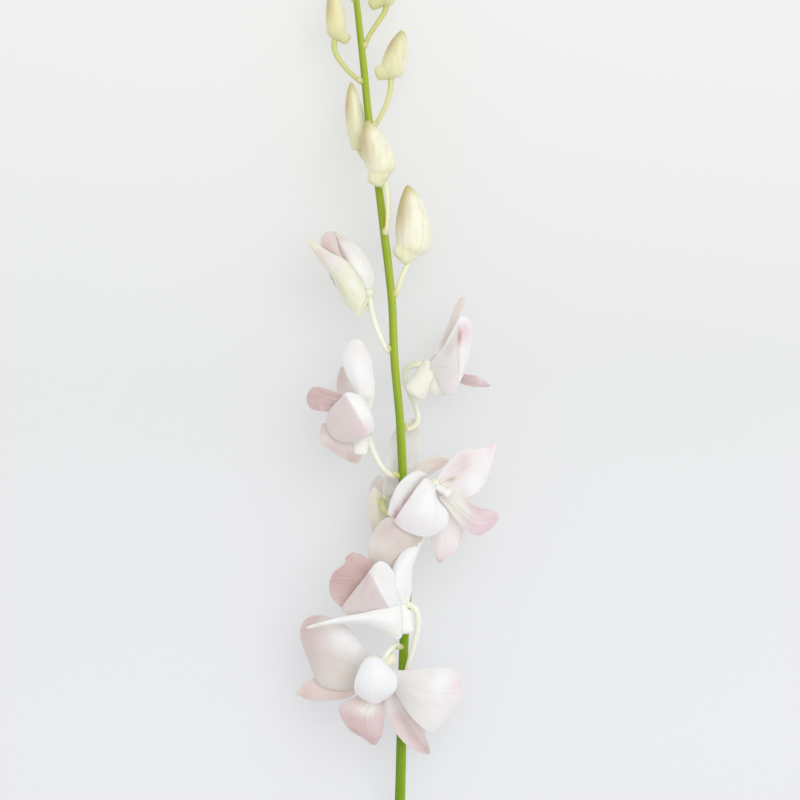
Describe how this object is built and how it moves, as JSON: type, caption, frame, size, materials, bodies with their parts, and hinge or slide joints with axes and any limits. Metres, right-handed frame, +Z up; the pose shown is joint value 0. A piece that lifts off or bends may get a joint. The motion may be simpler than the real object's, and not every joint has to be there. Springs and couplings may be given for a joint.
{
  "type": "dendrobium orchid stem",
  "caption": "Cut spray of a dendrobium orchid lying on its side, with pale pink blooms low on a green stem and yellow-green buds towards the tip.",
  "frame": {"origin": "under the middle of the spray's bounding box, on the surface that it lies on", "axes": "+Y along the stem from its cut end to its tip, +X to the right of that seen from above, +Z up from the surface"},
  "size_m": [0.0856, 0.4948, 0.0486],
  "materials": {
    "stem": "satin green, fibrous",
    "stalk": "satin, pale yellow-green to cream",
    "tepal": "soft waxy white, flushed pale pink",
    "lip": "soft waxy dusty pink, darker veins",
    "column": "waxy cream",
    "bud": "soft waxy yellow-green, tan-pink at the tip"
  },
  "bodies": {
    "root": {"stem": "stem", "bloom_1_tepals": "tepal", "bloom_1_stalk": "stalk", "bloom_1_lip": "lip", "bloom_1_column": "column", "bloom_2_tepals": "tepal", "bloom_2_stalk": "stalk", "bloom_2_lip": "lip", "bloom_2_column": "column", "bloom_3_tepals": "tepal", "bloom_3_stalk": "stalk", "bloom_3_lip": "lip", "bloom_3_column": "column", "bloom_4_tepals": "tepal", "bloom_4_stalk": "stalk", "bloom_4_lip": "lip", "bloom_4_column": "column", "bloom_5_tepals": "tepal", "bloom_5_stalk": "stalk", "bloom_5_lip": "lip", "bloom_5_column": "column", "bloom_6_tepals": "tepal", "bloom_6_stalk": "stalk", "bloom_6_lip": "lip", "bloom_6_column": "column", "bloom_7_tepals": "tepal", "bloom_7_stalk": "stalk", "bud_1": "bud", "bud_1_stalk": "stalk", "bud_2": "bud", "bud_2_stalk": "stalk", "bud_3": "bud", "bud_3_stalk": "stalk", "bud_4": "bud", "bud_4_stalk": "stalk", "bud_5": "bud", "bud_5_stalk": "stalk", "bud_6": "bud", "bud_6_stalk": "stalk", "bud_7": "bud", "bud_7_stalk": "stalk", "bud_8": "bud", "bud_8_stalk": "stalk", "bud_9": "bud", "bud_9_stalk": "stalk"}
  },
  "joints": []
}
